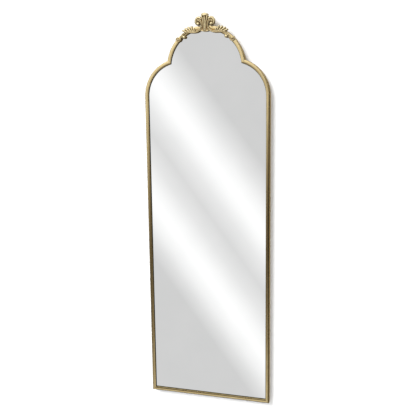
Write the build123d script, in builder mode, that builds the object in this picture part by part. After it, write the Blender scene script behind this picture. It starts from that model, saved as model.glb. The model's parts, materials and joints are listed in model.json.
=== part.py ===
from build123d import *
from math import asin, atan2, cos, degrees, hypot, radians, sin, sqrt
import os

# Arched full-length wall mirror: a slim tube frame with a shouldered arch, a silvered glass
# on a backing board, a cast scrollwork crest and two swinging D-rings to hang it by.
# Millimetres, front towards -Y, +Z up, origin under the middle of the bounding box.

# Driving dimensions: outer outline of the frame, the arch's rise counted from the cusps
frame_width = 540.0
spring_height = 1322.5
shoulder_radius = 154.0
cusp_half_width = 166.0
arch_rise = 140.4

# Frame tube, with a slightly domed front
tube_width = 15.0
tube_depth = 20.0
tube_wall = 1.2
tube_dome = 1.6
tube_corner = 1.2

# Glass and what holds it
glass_setback = 7.5
glass_thickness = 4.0
glass_arris = 0.6
tape_thickness = 0.8
tape_width = 25.0
tape_pitch = 95.0
tape_count = 5
tape_margin = 28.0
board_thickness = 4.0
edge_gap = 1.5
block_length = 60.0
block_offset = 130.0

# Retaining tabs and their screws
tab_thickness = 1.2
tab_reach = 22.0
tab_width = 24.0
tab_corner = 4.0
tab_hole_inset = 14.0
stile_tab_count = 4
foot_to_tab = 150.0
spring_to_tab = 32.5
rail_tab_offset = 150.0
shoulder_tab_angle = 42.0
arch_tab_angle = 62.0
tab_screw_radius = 1.6
tab_screw_length = 4.4
tab_head_radius = 3.2
tab_head_height = 1.9

# Hangers
spring_to_hanger = 87.5
plate_width = 40.0
plate_thickness = 2.0
plate_corner = 6.0
plate_above_axis = 4.0
plate_below_axis = 46.0
strap_width = 12.0
strap_thickness = 1.2
strap_length = 41.0
strap_fold = 15.5
strap_corner = 4.0
ring_wire_radius = 1.75
ring_half_width = 10.0
ring_side_height = 12.0
ring_corner = 3.5
ring_bore_clearance = 0.05
ring_rest_gap = 0.3
hanger_screw_drops = (10.5, 34.0)
hanger_screw_radius = 1.9
hanger_screw_length = 6.4
hanger_head_radius = 3.5
hanger_head_height = 2.2

# Bumpers that stand the frame off the wall
bumper_radius = 6.0
bumper_height = 7.0
bumper_taper = 8.0
bumper_edge = 0.8
bumper_height_on_stile = 60.0
bumper_arch_angle = 50.0

# Crest casting: how far it stands in front of the frame's face and reaches behind it
crest_proud = 12.0
crest_back = 6.0
crest_seat_clearance = 0.4
boss_radius = 5.0
boss_height = 7.5
insert_radius = 3.0
insert_length = 6.0
crest_screw_radius = 2.0
crest_screw_bite = 5.4
crest_head_radius = 4.0
crest_head_height = 2.6
crest_screw_offset = 66.0
washer_radius = 4.6
washer_thickness = 0.8

# Crest scrollwork, right half, measured from the frame's crown: (across, up, half width)
scroll_body = [(86, -28, 3.2), (74, -25.5, 4.6), (58, -26, 5), (42, -26, 5), (29, -22.5, 5),
               (18.5, -15.5, 4.8), (12.5, -6, 4.6), (12, 5, 4.6), (16, 15, 5), (24, 21, 5),
               (32, 19, 4.4), (35.5, 12, 3.4)]
scroll_rim = [(13.5, 20, 3), (20, 28, 4.2), (29, 29.5, 4.4), (36, 25, 4.2), (39.5, 17, 4),
              (38.5, 8.5, 3), (33, 5, 2.2)]
inner_leaf = [(47, -24, 4), (52, -12, 5.5), (56, -4, 5), (58.5, 0, 2.4)]
middle_leaf = [(57, -23, 4), (67, -16, 5), (76, -10.5, 4.2), (81.5, -7.5, 2)]
outer_leaf = [(74, -25, 3.6), (85, -21, 4), (93.5, -18.5, 3.2), (98.5, -17, 1.8)]
tail = [(80, -27, 3.6), (91, -32, 4.4), (99, -40, 4.4), (103.5, -49, 4), (107.5, -57.5, 3.6),
        (115, -61.5, 3.4), (122, -58, 3.2), (122.5, -51.5, 2.8), (117.5, -48.5, 2.4)]
bud_stalk = [(99, -37, 3.6), (95, -41, 4), (91, -44, 4)]
stem_flank = [(3.5, -24, 2.4), (5.2, -6, 3), (7.2, 12, 3.8), (12.5, 33, 4.4)]
stem_ridge = [(0, -26, 3.4), (0, -6, 4.2), (0, 14, 4.8), (0, 33, 6.5)]
web_outline = [(0, -25), (9, -25), (24, -20), (17, -4), (13, 30), (0, 30)]
web_proud = 3.0

# Crest beads: (across, up, half width, half height)
scroll_eye = (30.5, 9, 6.5, 5.5)
tail_eye = (116, -53, 3.8, 3.4)
tail_bud = (90, -45.5, 7.2, 6.6)
cap = (0, 41, 14.5, 7.5)

# Crest surface shaping: front rounding as a share of the half width, and lengthwise steps
stroke_round = 0.8
stroke_steps = 2
bead_round = 0.85

# How far each family of shapes stands proud of the frame's face, at its root and its tip
scroll_relief = (8.0, 11.0)
rim_relief = (9.5, 7.0)
leaf_relief = (8.0, 4.0)
tail_relief = (8.0, 7.0)
stem_relief = (8.0, 10.5)

# Clearances
screw_hole_clearance = 0.25
pilot_clearance = 0.05
insert_clearance = 0.05

# Depths behind the frame's face, from front to back
glass_back = glass_setback + glass_thickness
tape_back = glass_back + tape_thickness
board_back = tape_back + board_thickness
tab_back = board_back + tab_thickness
plate_back = board_back + plate_thickness
overall_back = tube_depth + bumper_height

# The origin lies midway between the crest's front and the bumpers' backs
face_y = (crest_proud - overall_back) / 2
tube_y = face_y + tube_depth / 2

# Arch geometry
shoulder_x = frame_width / 2 - shoulder_radius
cusp_height = spring_height + sqrt(shoulder_radius**2 - (cusp_half_width - shoulder_x) ** 2)
crown_height = cusp_height + arch_rise
arch_radius = (arch_rise**2 + cusp_half_width**2) / (2 * arch_rise)
arch_centre_z = crown_height - arch_radius
arch_mid_radius = arch_radius - tube_width / 2
stile_x = (frame_width - tube_width) / 2
inner_wall_x = frame_width / 2 - tube_width
hanger_height = spring_height - spring_to_hanger
tab_pitch = (spring_height - spring_to_tab - foot_to_tab) / (stile_tab_count - 1)
overrun_angle = 12.0


def behind(depth):
    """Plane facing the front, a depth behind the frame's face (negative is in front)."""
    return Plane.XZ.offset(-(face_y + depth))


def cusp(inset):
    """Where the shoulder arc and the top arc meet, both moved in by inset."""
    shoulder = shoulder_radius - inset
    arch = arch_radius - inset
    rise = spring_height - arch_centre_z
    span = hypot(shoulder_x, rise)
    along = (arch**2 - shoulder**2 + span**2) / (2 * span)
    across = sqrt(arch**2 - along**2)
    x = (along * shoulder_x - across * rise) / span
    z = arch_centre_z + (along * rise + across * shoulder_x) / span
    return x, z


def turns(inset):
    """How far the shoulder arc turns, and where the top arc starts, in degrees."""
    x, z = cusp(inset)
    shoulder_turn = degrees(atan2(z - spring_height, x - shoulder_x))
    arch_start = degrees(atan2(z - arch_centre_z, x))
    return shoulder_turn, arch_start


def arch_outline(inset, mode=Mode.ADD):
    """Fill the frame's outer outline, moved in by inset, in the current sketch."""
    half = frame_width / 2 - inset
    shoulder = shoulder_radius - inset
    shoulder_turn, arch_start = turns(inset)
    with BuildLine() as outline:
        Line((-half, inset), (half, inset))
        Line((half, inset), (half, spring_height))
        CenterArc((shoulder_x, spring_height), shoulder, 0, shoulder_turn)
        CenterArc((0, arch_centre_z), arch_radius - inset, arch_start, 180 - 2 * arch_start)
        CenterArc((-shoulder_x, spring_height), shoulder, 180 - shoulder_turn, shoulder_turn)
        Line((-half, spring_height), (-half, inset))
    make_face(outline.edges(), mode=mode)


def tube_outline():
    """Outside of the tube in the current sketch, width across and the front down."""
    half = tube_width / 2
    front = -tube_depth / 2
    with BuildLine() as outline:
        ThreePointArc((-half, front + tube_dome), (0, front), (half, front + tube_dome))
        Polyline((half, front + tube_dome), (half, -front), (-half, -front),
                 (-half, front + tube_dome))
    make_face(outline.edges())
    fillet(vertices(), tube_corner)


def tube_section():
    """Hollow tube in the current sketch, with a rectangular bore."""
    tube_outline()
    with Locations((0, tube_dome / 2)):
        Rectangle(tube_width - 2 * tube_wall, tube_depth - tube_dome - 2 * tube_wall,
                  mode=Mode.SUBTRACT)


def both_sides(sites):
    """The same (x, z) sites on the right and, mirrored, on the left."""
    return [(side * x, z) for side in (1, -1) for x, z in sites]


def on_arch(radius, angle):
    """Point on a circle about the top arc's centre, the angle counted from +X."""
    return radius * cos(radians(angle)), arch_centre_z + radius * sin(radians(angle))


def tab_sites(inset):
    """(x, z, angle) a distance in from the frame's inner wall, the angle pointing inwards."""
    reach = shoulder_radius - tube_width - inset
    turn = radians(shoulder_tab_angle)
    arch_x, arch_z = on_arch(arch_radius - tube_width - inset, arch_tab_angle)
    right = [
        (inner_wall_x - inset, foot_to_tab + tab_pitch * index, 180)
        for index in range(stile_tab_count)
    ]
    right += [
        (rail_tab_offset, tube_width + inset, 90),
        (shoulder_x + reach * cos(turn), spring_height + reach * sin(turn),
         180 + shoulder_tab_angle),
        (arch_x, arch_z, 180 + arch_tab_angle),
    ]
    return right + [(-x, z, 180 - angle) for x, z, angle in right]


def discs(plane, sites, radius, amount, mode=Mode.ADD):
    """Round pins, heads or holes at sites, from the plane towards the front."""
    with BuildSketch(plane) as circles:
        with Locations(*sites):
            Circle(radius)
    extrude(circles.sketch, amount=amount, mode=mode)


def pan_screws(plane, sites, head_radius, head_height, shank_radius, length):
    """Pan-head screws whose heads bear on the plane from behind and point to the front."""
    discs(plane, sites, head_radius, -head_height)
    rims = edges(Select.LAST).filter_by(GeomType.CIRCLE).group_by(Axis.Y)[-1]
    chamfer(rims, head_height / 2)
    discs(plane, sites, shank_radius, length)


# Mitre planes through the outer and inner corner of each joint of the frame
outer_x, outer_z = cusp(0)
inner_x, inner_z = cusp(tube_width)
cusp_mitre = Plane(origin=(outer_x, 0, outer_z), z_dir=(inner_z - outer_z, 0, outer_x - inner_x))
cusp_mitre_left = Plane(
    origin=(-outer_x, 0, outer_z), z_dir=(outer_z - inner_z, 0, outer_x - inner_x)
)
foot_mitre = Plane(origin=(frame_width / 2, 0, 0), z_dir=(1, 0, 1))
foot_mitre_left = Plane(origin=(-frame_width / 2, 0, 0), z_dir=(-1, 0, 1))

# Sites of fasteners and feet, as (x, z) seen from the front
crest_screw_z = arch_centre_z + sqrt(arch_mid_radius**2 - crest_screw_offset**2)
crest_screw_sites = [(0, arch_centre_z + arch_mid_radius)]
crest_screw_sites += both_sides([(crest_screw_offset, crest_screw_z)])
tab_screw_sites = [(x, z) for x, z, angle in tab_sites(tab_hole_inset)]
hanger_x = inner_wall_x - plate_width / 2
hanger_screw_sites = [(hanger_x, hanger_height - drop) for drop in hanger_screw_drops]
bumper_sites = both_sides([
    (stile_x, bumper_height_on_stile),
    on_arch(arch_mid_radius, bumper_arch_angle),
])

# Bottom rail, mitred at both ends
with BuildPart() as frame_bottom_rail:
    rail_end = Plane(origin=(-frame_width / 2, tube_y, tube_width / 2), x_dir=(0, 0, -1),
                     z_dir=(1, 0, 0))
    with BuildSketch(rail_end):
        tube_section()
    extrude(amount=frame_width)
    split(bisect_by=foot_mitre, keep=Keep.BOTTOM)
    split(bisect_by=foot_mitre_left, keep=Keep.BOTTOM)

# Right stile: a straight tube that bends into the shoulder
with BuildPart() as frame_stile_right:
    outer_turn, outer_start = turns(0)
    with BuildSketch(Plane(origin=(stile_x, tube_y, spring_height))) as spring_section:
        tube_section()
    extrude(amount=-spring_height)
    revolve(spring_section.sketch, revolution_arc=outer_turn + overrun_angle,
            axis=Axis((shoulder_x, 0, spring_height), (0, -1, 0)))
    split(bisect_by=foot_mitre, keep=Keep.TOP)
    split(bisect_by=cusp_mitre, keep=Keep.BOTTOM)

with BuildPart() as frame_stile_left:
    mirror(frame_stile_right.part, about=Plane.YZ)

# Top arch between the two cusps, drilled for the crest's screws
arch_first = outer_start - overrun_angle
arch_sweep = 180 - 2 * arch_first
arch_axis = Axis((0, 0, arch_centre_z), (0, -1, 0))
first_x, first_z = on_arch(arch_mid_radius, arch_first)
arch_foot = Plane(origin=(first_x, tube_y, first_z),
                  x_dir=(cos(radians(arch_first)), 0, sin(radians(arch_first))),
                  z_dir=(-sin(radians(arch_first)), 0, cos(radians(arch_first))))
with BuildPart() as frame_top_arch:
    with BuildSketch(arch_foot):
        tube_section()
    revolve(axis=arch_axis, revolution_arc=arch_sweep)
    split(bisect_by=cusp_mitre, keep=Keep.TOP)
    split(bisect_by=cusp_mitre_left, keep=Keep.TOP)
    discs(behind(tube_depth), crest_screw_sites, crest_screw_radius + screw_hole_clearance,
          tube_depth, Mode.SUBTRACT)

# Silvered glass with arrised edges
with BuildPart() as mirror_glass:
    with BuildSketch(behind(glass_back)):
        arch_outline(tube_width + edge_gap)
    extrude(amount=glass_thickness)
    chamfer(faces().sort_by(Axis.Y)[0].edges(), glass_arris)
    chamfer(faces().sort_by(Axis.Y)[-1].edges(), glass_arris)

# Foam tape in upright strips between the glass and the board
with BuildPart() as mounting_tape:
    with BuildSketch(behind(tape_back)):
        with GridLocations(tape_pitch, 0, tape_count, 1):
            Rectangle(tape_width, 2 * crown_height)
        arch_outline(tube_width + edge_gap + tape_margin, Mode.INTERSECT)
    extrude(amount=tape_thickness)

# Backing board, with a pilot hole for every screw that bites it
with BuildPart() as backing_board:
    with BuildSketch(behind(board_back)):
        arch_outline(tube_width + edge_gap)
    extrude(amount=board_thickness)
    discs(behind(board_back), tab_screw_sites, tab_screw_radius + pilot_clearance,
          tab_screw_length - tab_thickness, Mode.SUBTRACT)
    discs(behind(board_back), both_sides(hanger_screw_sites),
          hanger_screw_radius + pilot_clearance,
          hanger_screw_length - plate_thickness - strap_thickness, Mode.SUBTRACT)

# Rubber setting blocks that carry the glass and the board on the bottom rail
with BuildPart() as setting_blocks:
    with BuildSketch(behind(board_back)):
        with Locations((block_offset, tube_width), (-block_offset, tube_width)):
            Rectangle(block_length, edge_gap, align=(Align.CENTER, Align.MIN))
    extrude(amount=board_back - glass_setback)

# Steel tabs welded to the frame's inner wall, behind the board
with BuildPart() as retaining_tabs:
    with BuildSketch(behind(tab_back)):
        for x, z, angle in tab_sites(-tab_corner):
            with Locations(Location((x, z), angle)):
                RectangleRounded(tab_reach + tab_corner, tab_width, tab_corner,
                                 align=(Align.MIN, Align.CENTER))
        arch_outline(tube_width, Mode.INTERSECT)
    extrude(amount=tab_thickness)
    discs(behind(tab_back), tab_screw_sites, tab_screw_radius + screw_hole_clearance,
          tab_thickness, Mode.SUBTRACT)

with BuildPart() as tab_screws:
    pan_screws(behind(tab_back), tab_screw_sites, tab_head_radius, tab_head_height,
               tab_screw_radius, tab_screw_length)

# Hanger plates welded to the stiles' inner wall
with BuildPart() as hanger_plate_right:
    with BuildSketch(behind(plate_back)):
        with Locations((inner_wall_x, hanger_height + plate_above_axis)):
            Rectangle(plate_width, plate_above_axis + plate_below_axis,
                      align=(Align.MAX, Align.MAX))
        fillet(vertices().group_by(Axis.X)[0], plate_corner)
    extrude(amount=plate_thickness)
    discs(behind(plate_back), hanger_screw_sites, hanger_screw_radius + pilot_clearance,
          plate_thickness, Mode.SUBTRACT)

with BuildPart() as hanger_plate_left:
    mirror(hanger_plate_right.part, about=Plane.YZ)

# Hanger straps: a strip folded round the ring's bar and back on itself
loop_radius = ring_wire_radius + ring_bore_clearance + strap_thickness
loop_y = face_y + plate_back + loop_radius
with BuildPart() as hanger_strap_right:
    with BuildSketch(Plane.YZ.offset(hanger_x - strap_width / 2)):
        with Locations((face_y + plate_back, hanger_height)):
            Rectangle(strap_thickness, strap_length, align=(Align.MIN, Align.MAX))
            Rectangle(2 * strap_thickness, strap_fold, align=(Align.MIN, Align.MAX))
        with Locations((loop_y, hanger_height)):
            Circle(loop_radius)
            Circle(ring_wire_radius + ring_bore_clearance, mode=Mode.SUBTRACT)
    extrude(amount=strap_width)
    strap_ends = edges().filter_by(Axis.Y).group_by(Axis.Z)[0]
    fillet(strap_ends, strap_corner)
    discs(behind(plate_back + 2 * strap_thickness), hanger_screw_sites,
          hanger_screw_radius + screw_hole_clearance, 2 * strap_thickness, Mode.SUBTRACT)

with BuildPart() as hanger_strap_left:
    mirror(hanger_strap_right.part, about=Plane.YZ)

# D-rings, standing up in their straps and leaning towards the board
ring_height = ring_side_height + ring_half_width
ring_lean = asin(
    (plate_thickness + loop_radius - ring_wire_radius - ring_rest_gap) / ring_height
)
ring_plane = Plane(origin=(hanger_x, loop_y, hanger_height), x_dir=(1, 0, 0),
                   z_dir=(0, -cos(ring_lean), -sin(ring_lean)))
bar_half = ring_half_width - ring_corner
with BuildPart() as hanger_ring_right:
    with BuildLine(ring_plane) as ring_path:
        Line((-bar_half, 0), (bar_half, 0))
        CenterArc((bar_half, ring_corner), ring_corner, -90, 90)
        Line((ring_half_width, ring_corner), (ring_half_width, ring_side_height))
        CenterArc((0, ring_side_height), ring_half_width, 0, 180)
        Line((-ring_half_width, ring_side_height), (-ring_half_width, ring_corner))
        CenterArc((-bar_half, ring_corner), ring_corner, 180, 90)
    with BuildSketch(Plane(origin=(hanger_x - bar_half, loop_y, hanger_height),
                           z_dir=(1, 0, 0))):
        Circle(ring_wire_radius)
    sweep(path=ring_path.line)

with BuildPart() as hanger_ring_left:
    mirror(hanger_ring_right.part, about=Plane.YZ)

# Hanger screws: the upper pair bears on the folded strip, the lower pair on a single layer
with BuildPart() as hanger_screws:
    for layers, site in zip((2, 1), hanger_screw_sites):
        pan_screws(behind(plate_back + layers * strap_thickness), both_sides([site]),
                   hanger_head_radius, hanger_head_height, hanger_screw_radius,
                   hanger_screw_length)

# Rubber bumpers on the back of the tube
with BuildPart() as wall_bumpers:
    with BuildSketch(behind(tube_depth)):
        with Locations(*bumper_sites):
            Circle(bumper_radius)
    extrude(amount=-bumper_height, taper=bumper_taper)
    chamfer(edges().filter_by(GeomType.CIRCLE).group_by(Axis.Y)[-1], bumper_edge)

# Crest casting: scrollwork laid out in its own plane, x across and y up from the crown
crest_plane = Plane(origin=(0, face_y, crown_height), x_dir=(1, 0, 0), z_dir=(0, -1, 0))


def stroke(stations, relief):
    """Bar with upright walls and a rounded front, along a curve through the stations."""
    marks = [crest_plane.from_local_coords((x, y)) for x, y, half_width in stations]
    spine = Edge.make_spline(marks)
    places = [spine.param_at_point(mark) for mark in marks]
    sections = []
    steps = stroke_steps * (len(stations) - 1)
    for index in range(steps + 1):
        proud = relief[0] + (relief[1] - relief[0]) * index / steps
        first = min(index // stroke_steps, len(stations) - 2)
        share = index / stroke_steps - first
        place = places[first] * (1 - share) + places[first + 1] * share
        half_width = stations[first][2] * (1 - share) + stations[first + 1][2] * share
        shoulder = half_width * stroke_round - proud
        along = spine.tangent_at(place)
        station = Plane(origin=spine.position_at(place), x_dir=along.cross(crest_plane.z_dir),
                        z_dir=along)
        with BuildSketch(station) as section:
            with BuildLine() as rim:
                Polyline((half_width, shoulder), (half_width, crest_back),
                         (-half_width, crest_back), (-half_width, shoulder))
                ThreePointArc((-half_width, shoulder), (0, -proud), (half_width, shoulder))
            make_face(rim.edges())
        sections.append(section.sketch)
    loft(sections, ruled=True)


def bead(x, y, half_width, half_height, proud):
    """Upright boss, wider than high, with a domed front."""
    with BuildSketch(crest_plane.offset(-crest_back)) as outline:
        with Locations((x, y)):
            SlotOverall(2 * half_width, 2 * half_height)
    boss = extrude(outline.sketch, amount=crest_back + proud, mode=Mode.PRIVATE).solid()
    add(boss.fillet(bead_round * half_height, boss.edges().group_by(Axis.Y)[0]))


with BuildPart() as crest_casting:
    stroke(scroll_body, scroll_relief)
    stroke(scroll_rim, rim_relief)
    bead(*scroll_eye, scroll_relief[1])
    for leaf in (inner_leaf, middle_leaf, outer_leaf):
        stroke(leaf, leaf_relief)
    stroke(tail, tail_relief)
    stroke(bud_stalk, tail_relief)
    bead(*tail_eye, tail_relief[1])
    bead(*tail_bud, tail_relief[0])
    stroke(stem_flank, stem_relief)
    with BuildSketch(crest_plane):
        with BuildLine():
            Polyline(*web_outline, close=True)
        make_face()
    extrude(amount=web_proud)
    mirror(about=Plane.YZ)
    stroke(stem_ridge, stem_relief)
    bead(*cap, crest_proud)
    discs(behind(0), crest_screw_sites, boss_radius, boss_height)
    split(bisect_by=behind(crest_back), keep=Keep.TOP)
    with BuildSketch(behind(tube_dome + tube_corner)):
        arch_outline(-crest_seat_clearance)
    extrude(amount=-tube_depth, mode=Mode.SUBTRACT)
    with BuildSketch(arch_foot):
        tube_outline()
    revolve(axis=arch_axis, revolution_arc=arch_sweep, mode=Mode.SUBTRACT)
    discs(behind(tube_dome), crest_screw_sites, insert_radius + insert_clearance,
          tube_dome + insert_length, Mode.SUBTRACT)

# Brass threaded inserts in the casting
with BuildPart() as crest_inserts:
    discs(behind(0), crest_screw_sites, insert_radius, insert_length)
    discs(behind(0), crest_screw_sites, crest_screw_radius + insert_clearance, insert_length,
          Mode.SUBTRACT)

# Machine screws through the arch tube, each on a washer
with BuildPart() as crest_washers:
    discs(behind(tube_depth), crest_screw_sites, washer_radius, -washer_thickness)
    discs(behind(tube_depth), crest_screw_sites, crest_screw_radius + screw_hole_clearance,
          -washer_thickness, Mode.SUBTRACT)

with BuildPart() as crest_screws:
    pan_screws(behind(tube_depth + washer_thickness), crest_screw_sites, crest_head_radius,
               crest_head_height, crest_screw_radius,
               washer_thickness + tube_depth + crest_screw_bite)

# Label and export every piece
pieces = {
    "frame_bottom_rail": frame_bottom_rail,
    "frame_stile_left": frame_stile_left,
    "frame_stile_right": frame_stile_right,
    "frame_top_arch": frame_top_arch,
    "mirror_glass": mirror_glass,
    "mounting_tape": mounting_tape,
    "backing_board": backing_board,
    "setting_blocks": setting_blocks,
    "retaining_tabs": retaining_tabs,
    "tab_screws": tab_screws,
    "hanger_plate_left": hanger_plate_left,
    "hanger_plate_right": hanger_plate_right,
    "hanger_strap_left": hanger_strap_left,
    "hanger_strap_right": hanger_strap_right,
    "hanger_ring_left": hanger_ring_left,
    "hanger_ring_right": hanger_ring_right,
    "hanger_screws": hanger_screws,
    "wall_bumpers": wall_bumpers,
    "crest_casting": crest_casting,
    "crest_inserts": crest_inserts,
    "crest_washers": crest_washers,
    "crest_screws": crest_screws,
}
os.makedirs("parts", exist_ok=True)
for name, piece in pieces.items():
    piece.part.label = name
    export_step(piece.part, f"parts/{name}.step")
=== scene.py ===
import json
import math

import bmesh
import bpy
import numpy as np
from mathutils import Matrix, Vector


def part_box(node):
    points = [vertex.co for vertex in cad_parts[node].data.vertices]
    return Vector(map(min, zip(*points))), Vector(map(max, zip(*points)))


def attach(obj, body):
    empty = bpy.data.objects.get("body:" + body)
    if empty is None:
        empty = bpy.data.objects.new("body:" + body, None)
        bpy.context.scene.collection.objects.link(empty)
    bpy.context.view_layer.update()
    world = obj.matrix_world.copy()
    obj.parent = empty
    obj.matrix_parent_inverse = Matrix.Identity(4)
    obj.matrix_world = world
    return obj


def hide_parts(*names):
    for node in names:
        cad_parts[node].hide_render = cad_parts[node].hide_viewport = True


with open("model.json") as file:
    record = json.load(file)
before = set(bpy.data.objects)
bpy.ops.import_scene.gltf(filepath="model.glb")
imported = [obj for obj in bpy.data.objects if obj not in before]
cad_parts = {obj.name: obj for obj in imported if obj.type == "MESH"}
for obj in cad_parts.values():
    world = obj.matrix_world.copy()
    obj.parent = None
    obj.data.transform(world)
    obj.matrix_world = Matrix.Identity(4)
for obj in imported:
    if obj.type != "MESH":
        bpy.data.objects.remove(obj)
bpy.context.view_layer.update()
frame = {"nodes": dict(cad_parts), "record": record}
nodes = frame["nodes"]
MM = 0.001

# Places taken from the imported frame, in metres
arch_low, arch_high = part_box("frame_top_arch")
crest_low, crest_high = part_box("crest_casting")
face_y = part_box("frame_bottom_rail")[0].y
glass_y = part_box("mirror_glass")[0].y
wall_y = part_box("wall_bumpers")[1].y
crown_z = arch_high.z
arch_half_width = (arch_high.x - arch_low.x) / 2
cusp_drop = crown_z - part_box("frame_stile_right")[1].z
arch_radius = (cusp_drop**2 + arch_half_width**2) / (2 * cusp_drop)
arch_centre_z = crown_z - arch_radius

# Camera, as fitted to the outline of the frame in the photograph
camera_azimuth = math.radians(17.15)
camera_elevation = math.radians(10.30)
camera_roll = math.radians(-0.68)
camera_distance = 3.039
camera_target = Vector((0.0038, face_y, 0.8539))
camera_lens = 61.90
camera_sensor = 36.0
camera_clip_end = 50.0


def make_camera():
    """Camera at the photograph's viewpoint, with its small roll."""
    data = bpy.data.cameras.new("camera")
    data.lens = camera_lens
    data.sensor_width = camera_sensor
    data.clip_end = camera_clip_end
    camera = bpy.data.objects.new("camera", data)
    bpy.context.collection.objects.link(camera)
    back = Vector((
        math.sin(camera_azimuth) * math.cos(camera_elevation),
        -math.cos(camera_azimuth) * math.cos(camera_elevation),
        math.sin(camera_elevation),
    ))
    level = Vector((math.cos(camera_azimuth), math.sin(camera_azimuth), 0.0))
    upright = back.cross(level)
    right = level * math.cos(camera_roll) + upright * math.sin(camera_roll)
    up = upright * math.cos(camera_roll) - level * math.sin(camera_roll)
    turn = Matrix((right, up, back)).transposed().to_4x4()
    camera.matrix_world = Matrix.Translation(camera_target + back * camera_distance) @ turn
    bpy.context.scene.camera = camera


# Gold: tones and roughness of the frame and of the crest, and the tints that lie over them, among
# them patina with painted shade in the crest's hollows and a painted highlight on its ridges
frame_tones = [(0.68, 0.53, 0.27), (0.74, 0.59, 0.31), (0.80, 0.65, 0.36)]
frame_roughness = 0.26
crest_tones = [(0.56, 0.38, 0.17), (0.70, 0.51, 0.26), (0.82, 0.63, 0.35)]
crest_roughness = 0.40
roughness_spread = 0.03
tone_places = (0.30, 0.52, 0.72)
gloss_tint = (0.65, 0.50, 0.32, 1.0)
# Crest hollows: brown patina with painted shade; crest ridges: a painted highlight
hollow_patina_and_shade_colour = (0.18, 0.10, 0.035, 1.0)
ridge_highlight_colour = (0.98, 0.84, 0.50, 1.0)
hollow_patina_and_shade_strength = 0.95

# Painted shade, brown, on walls that turn away from the front and the back: how squarely a
# surface faces one of them where the shade is full and where there is none, how strong it is on
# walls that face the mirror's middle and on the others, and the share that stays where a wall
# faces up to the light
painted_wall_shade_colour = (0.06, 0.036, 0.016, 1.0)
wall_shade_full = 0.30
wall_shade_none = 0.80
wall_shade_inside = 0.95
wall_shade_outside = 0.18
wall_shade_facing_up = 0.2
mirror_middle = (0.0, face_y, 0.75)

# Glass: tones of its silver, its polished edge and the paint on its back
silver_tones = [(0.905, 0.910, 0.908), (0.925, 0.928, 0.926)]
glass_edge = (0.25, 0.42, 0.34, 1.0)
glass_back = (0.22, 0.22, 0.23, 1.0)
glass_edge_roughness = 0.25

# Softened edges of the frame's tube
frame_members = ("frame_bottom_rail", "frame_stile_left", "frame_stile_right", "frame_top_arch")
soft_edge = 0.0004
soft_edge_limit = math.radians(40.0)
soft_edge_segments = 2

# Sockets of a colour Mix node
mix_first, mix_second, mix_result = 6, 7, 2


def new_material(name):
    """Node material with its Principled shader."""
    material = bpy.data.materials.new(name)
    material.use_nodes = True
    tree = material.node_tree
    return material, tree, tree.nodes["Principled BSDF"]


def add_node(tree, kind, inputs=None, **settings):
    """Node of a kind, with settings and with inputs that are values or other nodes' outputs."""
    node = tree.nodes.new(kind)
    for key, value in settings.items():
        setattr(node, key, value)
    for key, value in (inputs or {}).items():
        if isinstance(value, bpy.types.NodeSocket):
            tree.links.new(value, node.inputs[key])
        else:
            node.inputs[key].default_value = value
    return node


def object_coordinates(tree, stretch=(1.0, 1.0, 1.0)):
    """Object coordinates in metres, stretched."""
    place = add_node(tree, "ShaderNodeTexCoord")
    return add_node(tree, "ShaderNodeMapping",
                    {"Vector": place.outputs["Object"], "Scale": stretch}).outputs["Vector"]


def noise(tree, coordinates, scale, detail=4.0, roughness=0.55):
    """Noise between 0 and 1."""
    return add_node(tree, "ShaderNodeTexNoise",
                    {"Vector": coordinates, "Scale": scale, "Detail": detail,
                     "Roughness": roughness}).outputs["Fac"]


def ramp(tree, factor, stops):
    """Colour ramp with stops (position, colour)."""
    node = add_node(tree, "ShaderNodeValToRGB", {"Fac": factor})
    elements = node.color_ramp.elements
    while len(elements) < len(stops):
        elements.new(0.5)
    for element, (position, colour) in zip(elements, stops):
        element.position = position
        element.color = (*colour, 1.0)
    return node.outputs["Color"]


def remap(tree, value, low, high, new_low, new_high):
    """Value moved from one range to another, clamped."""
    return add_node(tree, "ShaderNodeMapRange",
                    {"Value": value, "From Min": low, "From Max": high,
                     "To Min": new_low, "To Max": new_high}).outputs["Result"]


def mix(tree, factor, first, second, blend="MIX"):
    """Blend of two colours."""
    return add_node(tree, "ShaderNodeMix",
                    {"Factor": factor, mix_first: first, mix_second: second},
                    data_type="RGBA", blend_type=blend).outputs[mix_result]


def add_bump(tree, shader, height, strength, distance):
    """Bump from a height value."""
    bump = add_node(tree, "ShaderNodeBump",
                    {"Height": height, "Strength": strength, "Distance": distance})
    tree.links.new(bump.outputs["Normal"], shader.inputs["Normal"])


def painted_wall_shade_share(tree):
    """Painted shade on walls: strong towards the mirror's middle, lighter where they face up to
    the light.
    """
    place = add_node(tree, "ShaderNodeTexCoord")
    normal = place.outputs["Normal"]
    axes = add_node(tree, "ShaderNodeSeparateXYZ", {"Vector": normal})
    facing = add_node(tree, "ShaderNodeMath", {0: axes.outputs["Y"]}, operation="ABSOLUTE")
    wall = remap(tree, facing.outputs["Value"], wall_shade_full, wall_shade_none, 1.0, 0.0)
    inwards = add_node(tree, "ShaderNodeVectorMath",
                       {0: mirror_middle, 1: place.outputs["Object"]}, operation="SUBTRACT")
    turned = add_node(tree, "ShaderNodeVectorMath",
                      {0: inwards.outputs["Vector"], 1: normal}, operation="DOT_PRODUCT")
    strength = remap(tree, turned.outputs["Value"], -0.03, 0.05, wall_shade_outside, wall_shade_inside)
    # walls that face up keep less of the painted shade, as if lit from above
    lit_from_above = remap(tree, axes.outputs["Z"], 0.3, 0.8, 1.0, wall_shade_facing_up)
    share = add_node(tree, "ShaderNodeMath", {0: wall, 1: strength}, operation="MULTIPLY")
    left = add_node(tree, "ShaderNodeMath", {0: share.outputs["Value"], 1: lit_from_above},
                    operation="MULTIPLY")
    return left.outputs["Value"]


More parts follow.
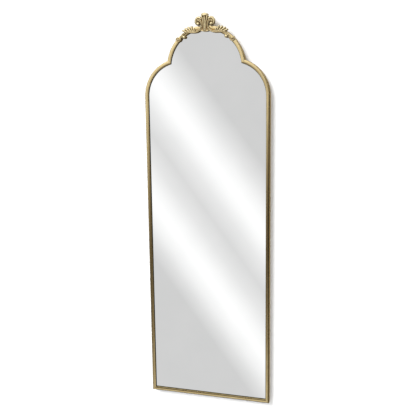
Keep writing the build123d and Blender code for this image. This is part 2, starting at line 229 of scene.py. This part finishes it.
def gold_material(name, tones, roughness, cavity_attribute=None):
    """Satin antique gold: mottled colour and sheen, patina and painted shade in its hollows, a
    painted highlight on its ridges and painted shade on its walls.
    """
    material, tree, shader = new_material(name)
    place = object_coordinates(tree)
    mottle = noise(tree, place, scale=14.0, detail=6.0, roughness=0.6)
    grain = noise(tree, place, scale=900.0, detail=3.0, roughness=0.5)
    colour = ramp(tree, mottle, list(zip(tone_places, tones)))
    if cavity_attribute:
        attribute = add_node(tree, "ShaderNodeAttribute", attribute_name=cavity_attribute)
        cavity = attribute.outputs["Fac"]
        # patina and painted shade darken the hollows, and a painted highlight lightens the ridges
        hollow_patina_and_shade = remap(tree, cavity, 0.36, 0.52, hollow_patina_and_shade_strength, 0.0)
        ridge_highlight = remap(tree, cavity, 0.52, 0.70, 0.0, 1.0)
        colour = mix(tree, hollow_patina_and_shade, colour, hollow_patina_and_shade_colour)
        colour = mix(tree, ridge_highlight, colour, ridge_highlight_colour)
    # painted shade darkens the walls that turn away from the front and the back
    colour = mix(tree, painted_wall_shade_share(tree), colour, painted_wall_shade_colour)
    tree.links.new(colour, shader.inputs["Base Color"])
    shader.inputs["Metallic"].default_value = 1.0
    shader.inputs["Specular Tint"].default_value = gloss_tint
    sheen = remap(tree, mottle, 0.3, 0.7, roughness + roughness_spread,
                  roughness - roughness_spread)
    tree.links.new(sheen, shader.inputs["Roughness"])
    add_bump(tree, shader, grain, strength=0.06, distance=0.0002)
    return material


def mirror_material():
    """Silvered front, greenish polished edge and grey backing paint, told apart by the normal."""
    material, tree, shader = new_material("silvered_glass")
    normal = add_node(tree, "ShaderNodeTexCoord").outputs["Normal"]
    facing = add_node(tree, "ShaderNodeSeparateXYZ", {"Vector": normal}).outputs["Y"]
    front = remap(tree, facing, -0.95, -0.6, 1.0, 0.0)
    back = remap(tree, facing, 0.6, 0.95, 0.0, 1.0)
    place = object_coordinates(tree)
    haze = noise(tree, place, scale=6.0, detail=2.0)
    silver = ramp(tree, haze, list(zip((0.35, 0.65), silver_tones)))
    edge = mix(tree, front, glass_edge, silver)
    colour = mix(tree, back, edge, glass_back)
    tree.links.new(colour, shader.inputs["Base Color"])
    tree.links.new(front, shader.inputs["Metallic"])
    rough_edge = remap(tree, front, 0.0, 1.0, glass_edge_roughness, 0.0)
    tree.links.new(rough_edge, shader.inputs["Roughness"])
    return material


def board_material():
    """Dark fibreboard back: fine fibres and a faint blotch."""
    material, tree, shader = new_material("board")
    place = object_coordinates(tree)
    upright = object_coordinates(tree, (1.0, 1.0, 0.18))
    fibres = noise(tree, upright, scale=420.0, detail=6.0, roughness=0.7)
    blotch = noise(tree, place, scale=9.0, detail=3.0)
    base = ramp(tree, fibres, [(0.30, (0.050, 0.038, 0.030)), (0.55, (0.082, 0.064, 0.050)),
                               (0.75, (0.135, 0.108, 0.085))])
    shade = ramp(tree, blotch, [(0.3, (0.80, 0.80, 0.80)), (0.7, (1.0, 1.0, 1.0))])
    tree.links.new(mix(tree, 1.0, base, shade, "MULTIPLY"), shader.inputs["Base Color"])
    tree.links.new(remap(tree, fibres, 0.3, 0.7, 0.85, 0.6), shader.inputs["Roughness"])
    add_bump(tree, shader, fibres, strength=0.4, distance=0.0004)
    return material


def rubber_material():
    """Matt black rubber with a dusty bloom."""
    material, tree, shader = new_material("black_rubber")
    bloom = noise(tree, object_coordinates(tree), scale=160.0, detail=5.0)
    colour = ramp(tree, bloom, [(0.35, (0.018, 0.018, 0.018)), (0.7, (0.055, 0.054, 0.052))])
    tree.links.new(colour, shader.inputs["Base Color"])
    tree.links.new(remap(tree, bloom, 0.3, 0.7, 0.65, 0.9), shader.inputs["Roughness"])
    add_bump(tree, shader, bloom, strength=0.3, distance=0.0003)
    return material


def foam_material():
    """White closed-cell foam tape."""
    material, tree, shader = new_material("foam_tape")
    cells = add_node(tree, "ShaderNodeTexVoronoi",
                     {"Vector": object_coordinates(tree), "Scale": 1400.0}).outputs["Distance"]
    colour = ramp(tree, cells, [(0.0, (0.62, 0.62, 0.60)), (0.8, (0.84, 0.84, 0.82))])
    tree.links.new(colour, shader.inputs["Base Color"])
    shader.inputs["Roughness"].default_value = 0.85
    add_bump(tree, shader, cells, strength=0.4, distance=0.0002)
    return material


def zinc_material():
    """Bright zinc plating: brushed, with a faint yellow and blue cast."""
    material, tree, shader = new_material("zinc_steel")
    place = object_coordinates(tree)
    upright = object_coordinates(tree, (1.0, 1.0, 0.08))
    brushed = noise(tree, upright, scale=2200.0, detail=3.0)
    cast = noise(tree, place, scale=90.0, detail=2.0)
    colour = ramp(tree, cast, [(0.3, (0.60, 0.63, 0.68)), (0.5, (0.72, 0.72, 0.71)),
                               (0.7, (0.76, 0.73, 0.62))])
    tree.links.new(colour, shader.inputs["Base Color"])
    shader.inputs["Metallic"].default_value = 1.0
    tree.links.new(remap(tree, brushed, 0.3, 0.7, 0.22, 0.42), shader.inputs["Roughness"])
    add_bump(tree, shader, brushed, strength=0.2, distance=0.0001)
    return material


def brass_material():
    """Turned brass."""
    material, tree, shader = new_material("insert_brass")
    tarnish = noise(tree, object_coordinates(tree), scale=300.0, detail=4.0)
    colour = ramp(tree, tarnish, [(0.3, (0.55, 0.38, 0.14)), (0.7, (0.82, 0.62, 0.28))])
    tree.links.new(colour, shader.inputs["Base Color"])
    shader.inputs["Metallic"].default_value = 1.0
    tree.links.new(remap(tree, tarnish, 0.3, 0.7, 0.4, 0.2), shader.inputs["Roughness"])
    return material


def dress_nodes():
    """Give every CAD node the material of its slot, and the frame its softened edges."""
    gold = gold_material("frame_metal", frame_tones, frame_roughness)
    finishes = {
        "frame_metal": gold,
        "crest_metal": gold,
        "silvered_glass": mirror_material(),
        "foam_tape": foam_material(),
        "board": board_material(),
        "black_rubber": rubber_material(),
        "zinc_steel": zinc_material(),
        "insert_brass": brass_material(),
    }
    for part in frame["record"]["subparts"]:
        node = nodes[part["node"]]
        node.data.materials.clear()
        node.data.materials.append(finishes[part["material_slot"]])
    for name in frame_members:
        soften = nodes[name].modifiers.new("soft_edges", "BEVEL")
        soften.width = soft_edge
        soften.segments = soft_edge_segments
        soften.limit_method = "ANGLE"
        soften.angle_limit = soft_edge_limit


# Crest strokes: right half, in millimetres from the frame's crown (across, up, half width)
scroll_body = [(86, -28, 3.2), (74, -25.5, 4.6), (58, -26, 5), (42, -26, 5), (29, -22.5, 5),
               (19, -15.5, 4.8), (13.8, -6, 4.4), (13, 5, 4.4), (16, 14.5, 4.8), (23, 20.5, 5),
               (30.5, 19, 4.4), (33.5, 12, 3.4)]
scroll_rim = [(13.5, 21, 3), (19, 28, 4.6), (27.5, 30, 4.9), (34.8, 26, 4.8), (38.3, 18, 4.6),
              (38, 9, 3.8), (33.5, 1.5, 3)]
first_lobe = [(44, -25, 3), (45.5, -19, 3.8), (47, -13.5, 4), (48.5, -10, 3)]
second_lobe = [(51, -25, 3), (54.5, -16, 3.9), (57.5, -7.5, 4.4), (59.5, -2.5, 3.2)]
third_lobe = [(57.5, -25, 3), (64, -16.5, 3.9), (70.5, -9, 4.4), (74.5, -4.5, 3.2)]
fourth_lobe = [(65, -25, 3), (74, -18.5, 3.9), (82.5, -13.5, 4.4), (87.5, -10.5, 3.2)]
fifth_lobe = [(75, -26, 3), (84, -22.5, 3.9), (92, -20, 4), (97.5, -18, 3)]
tail = [(80, -27, 3.6), (91, -32, 4.4), (99, -40, 4.4), (103.5, -49, 4), (107.5, -57.5, 4.0),
        (114.5, -62, 3.9), (121.5, -58.5, 3.7), (122, -50.5, 3.4), (116, -46.5, 3.0)]
bud_stalk = [(99, -37, 3.6), (95, -41, 4), (91, -44, 4)]
stem_flank = [(3.5, -24, 2.4), (4.8, -6, 2.7), (6.2, 12, 3.2), (10, 30, 4.4), (12, 39, 4.6)]
stem_ridge = [(0, -26, 3.4), (0, -6, 4.2), (0, 14, 4.8), (0, 32, 6), (0, 39, 6)]

# Outline of the web that ties each scroll to the stem (across, up)
web_outline = [(-1, -25), (9, -25), (24, -20), (17, -4), (13, 30), (-1, 30)]

# Crest beads: (across, up, half width, half height, proud)
scroll_eye = (28.5, 5.5, 7.6, 7.0, 11.8)
scroll_hollow = (25, 14, 11, 13.5, 3.0)
tail_eye = (115.5, -54, 4.6, 4.2, 8.0)
tail_bud = (90, -45.5, 7.2, 6.6, 9.0)
cap = (0, 41, 14.5, 7.5, 11.9)
cap_lobes = 10

# How far each family stands proud of the face, at its root and its tip, in millimetres
scroll_relief = (9.0, 9.0)
rim_relief = (9.5, 5.5)
leaf_relief = (8.0, 6.0)
tail_relief = (8.0, 7.0)
stem_relief = (8.0, 10.5)
web_proud = 6.5

# How a stroke is made: samples between stations, samples over which each end rounds off, points
# across, width and height of its tip as shares of the whole, and its least height
stroke_steps = 10
stroke_ends = 5
stroke_points = 21
tip_width = 0.25
tip_height = 0.5
least_height = 0.5

# How a bead is made: points around, rings up its dome, height of its drum as a share of the
# whole, and depth of its lobes
bead_points = 48
bead_rings = 10
drum_share = 0.45
lobe_depth = 0.05

# How the solids become one casting: how far behind the face they reach past the tube, clearance
# outside the tube, grid of the fusing, and smoothing
crest_back = 6.0
seat_clearance = 0.4
voxel = 0.75
smooth_factor = 0.5
smooth_passes = 3

# How hollows are found: smoothing passes of the shape that they are measured from and of the
# result, and the percentile that counts as fully hollow or raised
hollow_passes = 8
blur_passes = 2
widest_share = 95

# Frame tube: width, dome of its front and rounding of its edges, in millimetres
tube_width = 15.0
tube_dome = 1.6
tube_corner = 1.2


def smooth_path(stations, steps):
    """Catmull-Rom curve through the stations, each (across, up, half width)."""
    points = np.array(stations, dtype=float)
    padded = np.vstack([2 * points[0] - points[1], points, 2 * points[-1] - points[-2]])
    samples = []
    for index in range(len(points) - 1):
        before, start, end, after = padded[index:index + 4]
        for share in np.linspace(0.0, 1.0, steps, endpoint=False):
            samples.append(0.5 * (
                2 * start + (end - before) * share
                + (2 * before - 5 * start + 4 * end - after) * share**2
                + (3 * start - before - 3 * end + after) * share**3
            ))
    return np.array(samples + [points[-1]])


def reeded(across):
    """Scroll section: two rounded reeds with a channel between them."""
    dome = np.sqrt(np.clip(1 - np.abs(across) ** 4, 0, 1))
    return dome * (0.90 - 0.10 * np.cos(2 * np.pi * across))


def rounded(across):
    """Half-round section on a low base."""
    return 0.25 + 0.75 * np.sqrt(np.clip(1 - across**2, 0, 1))


def join_loops(mesh, loops):
    """Faces between each closed loop of vertices and the next."""
    for lower, upper in zip(loops, loops[1:]):
        size = len(lower)
        for index in range(size):
            after = (index + 1) % size
            mesh.faces.new((lower[index], lower[after], upper[after], upper[index]))


def add_stroke(mesh, stations, relief, section, side):
    """Bar with a shaped front along a curve, closed behind and at both ends."""
    path = smooth_path(stations, stroke_steps)
    count = len(path)
    along = np.gradient(path[:, :2], axis=0)
    along /= np.linalg.norm(along, axis=1)[:, None]
    normal = np.stack([along[:, 1], -along[:, 0]], axis=1)
    across = np.linspace(-1.0, 1.0, stroke_points)
    profile = section(across)
    loops = []
    for index in range(count):
        place, half_width = path[index, :2], path[index, 2]
        proud = relief[0] + (relief[1] - relief[0]) * index / (count - 1)
        from_end = min(min(index, count - 1 - index) / stroke_ends, 1.0)
        taper = math.sqrt(1 - (1 - from_end) ** 2) * (1 - tip_width) + tip_width
        width = half_width * taper
        height = proud * (taper * (1 - tip_height) + tip_height)
        ring = []
        for share, level in zip(across, profile):
            spot = place + normal[index] * share * width
            ring.append((spot[0], spot[1], max(height * level, least_height)))
        first, last = ring[0], ring[-1]
        ring += [(last[0], last[1], -crest_back), (first[0], first[1], -crest_back)]
        loops.append([mesh.verts.new((side * x, -z, y)) for x, y, z in ring])
    join_loops(mesh, loops)
    mesh.faces.new(loops[0][::-1])
    mesh.faces.new(loops[-1])


def add_bead(mesh, bead, side, lobes=0):
    """Domed boss on a straight drum, with shallow lobes if asked."""
    x, y, half_width, half_height, proud = bead
    drum = proud * drum_share
    rings = [(1.0, -crest_back)]
    for index in range(bead_rings):
        angle = index / bead_rings * math.pi / 2
        rings.append((math.cos(angle), drum + (proud - drum) * math.sin(angle)))
    loops = []
    for spread, level in rings:
        loop = []
        for turn in range(bead_points):
            angle = 2 * math.pi * turn / bead_points
            swell = 1 + (lobe_depth * math.cos(lobes * angle) if lobes else 0.0)
            loop.append(mesh.verts.new((
                side * (x + half_width * spread * swell * math.cos(angle)),
                -level,
                y + half_height * spread * math.sin(angle),
            )))
        loops.append(loop)
    top = mesh.verts.new((side * x, -proud, y))
    join_loops(mesh, loops)
    for turn in range(bead_points):
        mesh.faces.new((loops[-1][turn], loops[-1][(turn + 1) % bead_points], top))
    mesh.faces.new(loops[0][::-1])


def add_web(mesh, side):
    """Web that ties the scroll to the stem."""
    back = [mesh.verts.new((side * x, crest_back, y)) for x, y in web_outline]
    front = [mesh.verts.new((side * x, -web_proud, y)) for x, y in web_outline]
    join_loops(mesh, [back, front])
    mesh.faces.new(back[::-1])
    mesh.faces.new(front)


def crest_solids():
    """All the crest's overlapping solids in one mesh, in millimetres from the crown."""
    mesh = bmesh.new()
    for side in (1, -1):
        add_stroke(mesh, scroll_body, scroll_relief, reeded, side)
        add_stroke(mesh, scroll_rim, rim_relief, rounded, side)
        add_bead(mesh, scroll_eye, side)
        add_bead(mesh, scroll_hollow, side)
        for lobe in (first_lobe, second_lobe, third_lobe, fourth_lobe, fifth_lobe):
            add_stroke(mesh, lobe, leaf_relief, rounded, side)
        add_stroke(mesh, tail, tail_relief, reeded, side)
        add_stroke(mesh, bud_stalk, tail_relief, rounded, side)
        add_bead(mesh, tail_eye, side)
        add_bead(mesh, tail_bud, side)
        add_stroke(mesh, stem_flank, stem_relief, rounded, side)
        add_web(mesh, side)
    add_stroke(mesh, stem_ridge, stem_relief, rounded, 1)
    add_bead(mesh, cap, 1, lobes=cap_lobes)
    bmesh.ops.recalc_face_normals(mesh, faces=mesh.faces)
    return mesh


def apply_modifiers(obj):
    """Replace the object's mesh by its evaluated one."""
    graph = bpy.context.evaluated_depsgraph_get()
    finished = bpy.data.meshes.new_from_object(obj.evaluated_get(graph))
    obj.modifiers.clear()
    obj.data = finished


def cavity_values(mesh):
    """Signed curvature for each vertex, 0.5 on flats, lower in hollows and higher on ridges."""
    count = len(mesh.vertices)
    places = np.empty(count * 3)
    mesh.vertices.foreach_get("co", places)
    places = places.reshape(-1, 3)
    normals = np.empty(count * 3)
    mesh.vertices.foreach_get("normal", normals)
    normals = normals.reshape(-1, 3)
    ends = np.empty(len(mesh.edges) * 2, dtype=int)
    mesh.edges.foreach_get("vertices", ends)
    ends = ends.reshape(-1, 2)
    degree = np.bincount(ends.ravel(), minlength=count).astype(float)

    def spread(values):
        total = np.zeros_like(values)
        np.add.at(total, ends[:, 0], values[ends[:, 1]])
        np.add.at(total, ends[:, 1], values[ends[:, 0]])
        return total / (degree[:, None] if values.ndim == 2 else degree)

    smooth = places.copy()
    for _ in range(hollow_passes):
        smooth = spread(smooth)
    lift = np.einsum("ij,ij->i", places - smooth, normals)
    for _ in range(blur_passes):
        lift = spread(lift)
    reach = np.percentile(np.abs(lift), widest_share)
    return np.clip(0.5 + 0.5 * lift / reach, 0.0, 1.0)


def seat_depth(x, z):
    """How far behind the face the crest may reach: onto the tube's dome, and past its outside."""
    radius = math.hypot(x, z + (crown_z - arch_centre_z) / MM)
    outside = radius - arch_radius / MM
    if outside > seat_clearance:
        return crest_back
    across = min(abs(outside + tube_width / 2) / (tube_width / 2), 1.0)
    return tube_dome * across**2 + tube_corner * across**8


def make_crest():
    """Cast scrollwork: the solids fused, smoothed and seated on the frame's face."""
    solids = crest_solids()
    data = bpy.data.meshes.new("crest_scrollwork")
    solids.to_mesh(data)
    solids.free()
    crest = bpy.data.objects.new("crest_scrollwork", data)
    bpy.context.collection.objects.link(crest)
    fuse = crest.modifiers.new("fuse", "REMESH")
    fuse.mode = "VOXEL"
    fuse.voxel_size = voxel
    soften = crest.modifiers.new("soften", "SMOOTH")
    soften.factor = smooth_factor
    soften.iterations = smooth_passes
    apply_modifiers(crest)
    mesh = crest.data
    crown = Vector((0.0, face_y, crown_z))
    low, high = (crest_low - crown) / MM, (crest_high - crown) / MM
    for vertex in mesh.vertices:
        place = vertex.co
        place.y = min(place.y, seat_depth(place.x, place.z))
        for axis in range(3):
            place[axis] = min(max(place[axis], low[axis]), high[axis])
    cavity = mesh.attributes.new("cavity", "FLOAT", "POINT")
    cavity.data.foreach_set("value", cavity_values(mesh))
    mesh.transform(Matrix.Translation(crown) @ Matrix.Scale(MM, 4))
    for polygon in mesh.polygons:
        polygon.use_smooth = True
    mesh.materials.clear()
    mesh.materials.append(gold_material("crest_metal", crest_tones, crest_roughness, "cavity"))
    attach(crest, "mirror")
    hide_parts("crest_casting")


# Stage: a pale wall just behind the bumpers and a floor below the mirror
floor_drop = 0.40
stage_half_width = 3.5
wall_top = 3.6
floor_front = -5.0
floor_back = 3.0
wall_gap = 0.0004


def plaster_material():
    """Pale plaster, see-through from behind so that it never hides the part's back."""
    material, tree, shader = new_material("plaster")
    grain = noise(tree, object_coordinates(tree), scale=60.0, detail=4.0)
    tree.links.new(ramp(tree, grain, [(0.3, (0.90, 0.90, 0.90)), (0.7, (0.92, 0.92, 0.92))]),
                   shader.inputs["Base Color"])
    shader.inputs["Roughness"].default_value = 1.0
    shader.inputs["Specular IOR Level"].default_value = 0.0
    clear = add_node(tree, "ShaderNodeBsdfTransparent")
    side = add_node(tree, "ShaderNodeNewGeometry").outputs["Backfacing"]
    blend = add_node(tree, "ShaderNodeMixShader")
    tree.links.new(side, blend.inputs[0])
    tree.links.new(shader.outputs[0], blend.inputs[1])
    tree.links.new(clear.outputs[0], blend.inputs[2])
    tree.links.new(blend.outputs[0], tree.nodes["Material Output"].inputs["Surface"])
    return material


def floor_material():
    """Pale matt floor."""
    material, tree, shader = new_material("floor")
    grain = noise(tree, object_coordinates(tree), scale=40.0, detail=4.0)
    tree.links.new(ramp(tree, grain, [(0.3, (0.88, 0.88, 0.88)), (0.7, (0.91, 0.91, 0.91))]),
                   shader.inputs["Base Color"])
    shader.inputs["Roughness"].default_value = 0.9
    return material


def strip_mesh(name, profile, half_width, material):
    """Sheet swept across X along a (y, z) profile."""
    mesh = bmesh.new()
    rows = [[mesh.verts.new((x, y, z)) for y, z in profile] for x in (-half_width, half_width)]
    for index in range(len(profile) - 1):
        mesh.faces.new((rows[0][index], rows[0][index + 1], rows[1][index + 1], rows[1][index]))
    data = bpy.data.meshes.new(name)
    mesh.to_mesh(data)
    mesh.free()
    data.materials.append(material)
    sheet = bpy.data.objects.new(name, data)
    bpy.context.collection.objects.link(sheet)
    return sheet


def make_stage():
    """Wall behind the bumpers and floor below; neither shows in the glass or the metal."""
    back = wall_y + wall_gap
    wall = strip_mesh("stage_wall", [(back, wall_top), (back, -floor_drop)], stage_half_width,
                      plaster_material())
    wall.visible_diffuse = False
    wall.visible_glossy = False
    wall.visible_shadow = False
    floor = strip_mesh("stage_floor", [(floor_back, -floor_drop), (floor_front, -floor_drop)],
                       stage_half_width, floor_material())
    floor.visible_glossy = False


def link_light(lamp, names, state):
    """Light only, or everything but, the named nodes."""
    group = bpy.data.collections.new(lamp.name + "_receivers")
    for name in names:
        group.objects.link(nodes[name])
    lamp.light_linking.receiver_collection = group
    for entry in group.collection_objects:
        entry.light_linking.link_state = state


# Panels: large lamps that only reflections show. A panel's stops are a place along the front of
# the mirror, in millimetres, and the brightness that this place reflects in the main view
panel_size = 6.0
card_distance = 0.70
card_slope = 1.333
card_stops = [(280, 0.63), (360, 0.745), (440, 0.90), (540, 1.03), (620, 0.95), (720, 0.80),
              (830, 0.70), (940, 0.82), (1030, 0.97), (1085, 1.03), (1170, 0.93), (1260, 0.78),
              (1370, 0.63)]
sweep_distance = 1.50
sweep_slope = -0.3
sweep_stops = [(-80, 0.85), (70, 0.60), (170, 0.38), (500, 0.13), (570, 0.10), (730, 0.09),
               (800, 0.14), (960, 0.22), (1030, 0.31), (1170, 0.52), (1260, 0.72), (1480, 1.06),
               (1700, 1.18)]
sweep_width = 2.8
sweep_centre = -0.9
silver_reflectance = 0.915
panel_height = 0.8

# Plain panels for the metal: name, place, direction and brightness
plain_panels = [
    ("ceiling", (0.0, 0.0, 3.4), (0.0, 0.0, -1.0), 0.8),
    ("left", (-3.0, 0.6, panel_height), (1.0, 0.0, 0.0), 0.15),
    ("right", (3.0, 0.6, panel_height), (-1.0, 0.0, 0.0), 0.45),
    ("rear", (0.0, 3.0, panel_height), (0.0, -1.0, 0.0), 0.5),
]

# Key light: where it shines to, its strength and its angle across, in degrees
key_direction = (0.75, 1.0, -1.1)
key_strength = 4.0
key_angle = 36.0

# Warmth of the front panels: brightness where they are warmest, range over which they pale, and
# the green and blue that are left at the warmest
warm_below = 0.15
warm_range = 0.45
warm_green = 0.86
warm_blue = 0.70


def warm(value):
    """Grey of a brightness, warmer the darker it is."""
    pale = min(max((value - warm_below) / warm_range, 0.0), 1.0)
    green = warm_green + (1 - warm_green) * pale
    blue = warm_blue + (1 - warm_blue) * pale
    return value, value * green, value * blue


def paint_panel(tree, stops, slope, scale, offset):
    """Banded emission; scale and offset carry places on the mirror's front onto the panel."""
    tree.nodes.clear()
    place = add_node(tree, "ShaderNodeNewGeometry").outputs["Position"]
    along = add_node(tree, "ShaderNodeVectorMath",
                     {0: place, 1: (slope, 0.0, 1.0)}, operation="DOT_PRODUCT").outputs["Value"]
    first, last = stops[0][0], stops[-1][0]
    share = remap(tree, along, first * MM * scale + offset, last * MM * scale + offset, 0.0, 1.0)
    shares = [((mark - first) / (last - first), warm(value)) for mark, value in stops]
    glow = add_node(tree, "ShaderNodeEmission", {"Color": ramp(tree, share, shares)})
    out = add_node(tree, "ShaderNodeOutputLight")
    tree.links.new(glow.outputs[0], out.inputs["Surface"])


def add_panel(name, place, direction, brightness, state="EXCLUDE", width=panel_size):
    """Lamp that shows in reflections alone, in the glass's or in the metal's."""
    data = bpy.data.lights.new(name, "AREA")
    data.shape = "RECTANGLE"
    data.size = width
    data.size_y = panel_size
    data.energy = brightness * math.pi * width * panel_size
    panel = bpy.data.objects.new(name, data)
    panel.location = place
    panel.rotation_euler = Vector(direction).to_track_quat("-Z", "Y").to_euler()
    panel.visible_camera = False
    panel.visible_diffuse = False
    bpy.context.collection.objects.link(panel)
    link_light(panel, ["mirror_glass"], state)
    return panel


def add_front_panel(name, distance, stops, slope, brightness, state, centre=0.0,
                    width=panel_size):
    """Panel in front of the mirror, painted so that the main view's reflections fall in place."""
    camera = bpy.context.scene.camera.matrix_world.translation
    share = distance / (glass_y - camera.y)
    panel = add_panel(name, (centre, glass_y - distance, panel_height), (0.0, 1.0, 0.0),
                      brightness, state, width)
    panel.data.use_nodes = True
    paint_panel(panel.data.node_tree, stops, slope, 1 + share,
                -(camera.z + slope * camera.x) * share)


def add_sun(name, direction, strength, angle):
    """Distant soft lamp shining along a direction, not shown in the glass or the metal."""
    data = bpy.data.lights.new(name, "SUN")
    data.energy = strength
    data.angle = math.radians(angle)
    lamp = bpy.data.objects.new(name, data)
    lamp.rotation_euler = Vector(direction).to_track_quat("-Z", "Y").to_euler()
    lamp.visible_glossy = False
    bpy.context.collection.objects.link(lamp)


# Surround: what the camera sees past the stage, and what lights matt surfaces
backdrop = (0.86, 0.86, 0.86, 1.0)
surround = (0.54, 0.54, 0.54, 1.0)


def make_surround():
    """Pale surround that lights matt surfaces; reflections show the panels instead."""
    world = bpy.data.worlds.new("surround")
    world.use_nodes = True
    tree = world.node_tree
    seen = add_node(tree, "ShaderNodeLightPath").outputs["Is Camera Ray"]
    tree.links.new(mix(tree, seen, surround, backdrop), tree.nodes["Background"].inputs["Color"])
    tree.nodes["Background"].inputs["Strength"].default_value = 1.0
    world.cycles_visibility.glossy = False
    bpy.context.scene.world = world


def make_lights():
    """Soft studio light: a key from the upper left, and panels that the glass and metal show."""
    make_surround()
    add_sun("key", key_direction, key_strength, key_angle)
    add_front_panel("card", card_distance, card_stops, card_slope, 1 / silver_reflectance,
                    "INCLUDE")
    add_front_panel("sweep", sweep_distance, sweep_stops, sweep_slope, 1.0, "EXCLUDE",
                    sweep_centre, sweep_width)
    for name, place, direction, brightness in plain_panels:
        add_panel(name, place, direction, brightness)


bpy.context.scene.view_settings.view_transform = "Standard"
make_camera()
dress_nodes()
make_crest()
make_stage()
make_lights()
